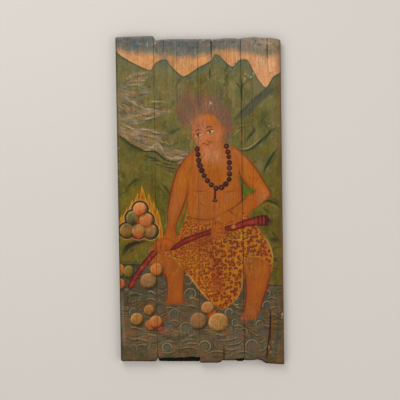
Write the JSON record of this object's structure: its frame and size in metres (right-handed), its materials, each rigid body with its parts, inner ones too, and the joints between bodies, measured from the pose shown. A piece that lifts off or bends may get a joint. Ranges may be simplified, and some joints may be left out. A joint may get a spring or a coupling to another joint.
{
  "type": "painted wooden guardian panel",
  "caption": "Tall panel of boards set edge to edge, painted on one face with a guardian figure before mountains and water; it lines a shrine, cabinet or wall",
  "frame": {"origin": "under the middle of the panel's outline, on the surface it lies on", "axes": "+Y towards the picture's top end, +X towards the picture's right, +Z out of the painted face; the panel lies on its back"},
  "size_m": [0.4626, 0.9262, 0.022],
  "materials": {
    "painted_wood": "old distemper paint under a worn, darkened varnish on one face; bare aged softwood at the edges and back"
  },
  "bodies": {
    "root": {"left_board": "painted_wood", "second_board": "painted_wood", "third_board": "painted_wood", "right_board": "painted_wood"}
  },
  "joints": []
}
